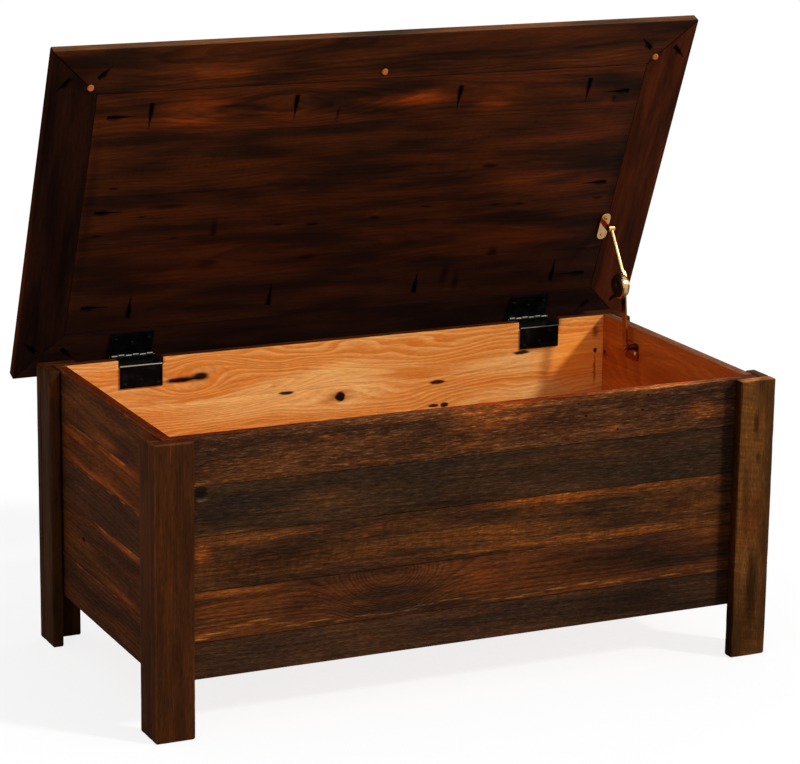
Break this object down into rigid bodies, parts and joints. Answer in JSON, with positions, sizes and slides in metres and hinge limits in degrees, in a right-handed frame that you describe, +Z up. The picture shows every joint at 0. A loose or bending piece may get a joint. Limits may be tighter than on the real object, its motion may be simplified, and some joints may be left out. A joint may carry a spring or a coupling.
{
  "type": "blanket chest",
  "caption": "Rustic blanket chest with boarded walls between corner posts and a framed lid that stands open on a side stay.",
  "frame": {"origin": "on the floor, under the middle of the whole chest's box with its lid open", "axes": "+X to the chest's right end as seen from its front, +Y to its back, +Z up"},
  "size_m": [1.116, 0.5794, 0.9965],
  "materials": {
    "wall_boards": "weathered, thin oil",
    "post_boards": "worn, satin oil",
    "floor_boards": "bare, matt",
    "lid_boards": "satin lacquer",
    "hinge_steel": "satin black",
    "stay_plating": "bright plated",
    "drum_cap": "satin black moulding",
    "bumpers": "soft, matt"
  },
  "bodies": {
    "box": {"post_front_left_face": "post_boards", "post_front_left_side": "post_boards", "post_front_right_face": "post_boards", "post_front_right_side": "post_boards", "post_back_left_face": "post_boards", "post_back_left_side": "post_boards", "post_back_right_face": "post_boards", "post_back_right_side": "post_boards", "front_board_1": "wall_boards", "front_board_2": "wall_boards", "front_board_3": "wall_boards", "front_board_4": "wall_boards", "front_board_5": "wall_boards", "back_board_1": "wall_boards", "back_board_2": "wall_boards", "back_board_3": "wall_boards", "back_board_4": "wall_boards", "back_board_5": "wall_boards", "left_end_board_1": "wall_boards", "left_end_board_2": "wall_boards", "left_end_board_3": "wall_boards", "left_end_board_4": "wall_boards", "left_end_board_5": "wall_boards", "right_end_board_1": "wall_boards", "right_end_board_2": "wall_boards", "right_end_board_3": "wall_boards", "right_end_board_4": "wall_boards", "right_end_board_5": "wall_boards", "floor_panel": "floor_boards", "floor_cleat_front": "wall_boards", "floor_cleat_back": "wall_boards", "hinge_left_box_leaf": "hinge_steel", "hinge_left_pin": "hinge_steel", "hinge_right_box_leaf": "hinge_steel", "hinge_right_pin": "hinge_steel", "stay_wall_bracket": "stay_plating", "stay_wall_screw_front": "stay_plating", "stay_wall_screw_back": "stay_plating"},
    "lid": {"lid_rail_front": "lid_boards", "lid_rail_back": "lid_boards", "lid_stile_left": "lid_boards", "lid_stile_right": "lid_boards", "lid_panel_board_1": "lid_boards", "lid_panel_board_2": "lid_boards", "lid_panel_board_3": "lid_boards", "lid_panel_board_4": "lid_boards", "lid_panel_board_5": "lid_boards", "lid_bumper_left": "bumpers", "lid_bumper_middle": "bumpers", "lid_bumper_right": "bumpers", "hinge_left_lid_leaf": "hinge_steel", "hinge_right_lid_leaf": "hinge_steel", "stay_lid_bracket": "stay_plating", "stay_lid_screw_front": "stay_plating", "stay_lid_screw_back": "stay_plating"},
    "stay_rod": {"stay_rod": "stay_plating"},
    "stay_arm": {"stay_lower_arm": "stay_plating", "stay_drum": "stay_plating", "stay_drum_cap": "drum_cap"}
  },
  "joints": [
    {"name": "lid_hinge", "type": "hinge", "parent": "box", "child": "lid", "pos_m": [0, 0.25433, 0.4563], "axis": [1, 0, 0], "range_deg": [0, 67.5]},
    {"name": "stay_rod_pivot", "type": "hinge", "parent": "lid", "child": "stay_rod", "pos_m": [0.4795, 0.17544, 0.62116], "axis": [1, 0, 0], "range_deg": [-58, 0]},
    {"name": "stay_arm_pivot", "type": "hinge", "parent": "box", "child": "stay_arm", "pos_m": [0.4762, 0.10633, 0.4273], "axis": [1, 0, 0], "range_deg": [0, 145]}
  ],
  "couplings": [
    {"joint": "stay_rod_pivot", "follows": "lid_hinge", "ratio": -0.8406},
    {"joint": "stay_arm_pivot", "follows": "lid_hinge", "ratio": 2.129}
  ]
}
